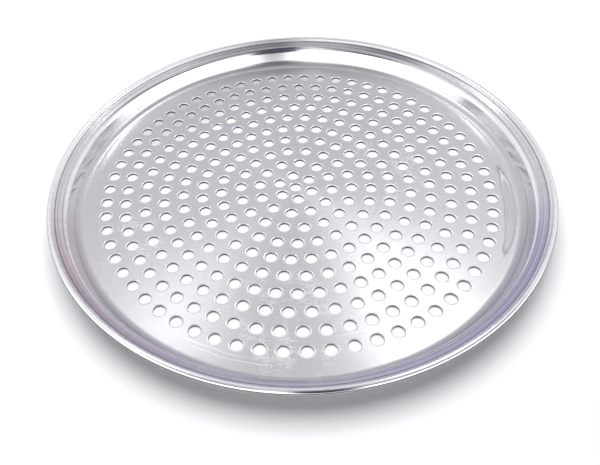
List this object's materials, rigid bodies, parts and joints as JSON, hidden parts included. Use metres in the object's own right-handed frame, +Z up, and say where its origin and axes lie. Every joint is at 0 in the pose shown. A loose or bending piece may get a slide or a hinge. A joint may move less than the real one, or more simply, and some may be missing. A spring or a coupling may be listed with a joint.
{
  "type": "pizza pan",
  "caption": "Round perforated pizza pan with a flat base, a coved flared wall and a wired rolled rim.",
  "frame": {"origin": "middle of the underside of the flat base", "axes": "+Z up out of the open side, X and Y in the plane of the base"},
  "size_m": [0.3174, 0.3174, 0.0182],
  "materials": {
    "pan_sheet": "polished, lightly scratched",
    "rim_wire": "galvanised"
  },
  "bodies": {
    "root": {"pan_body": "pan_sheet", "rim_wire": "rim_wire"}
  },
  "joints": []
}
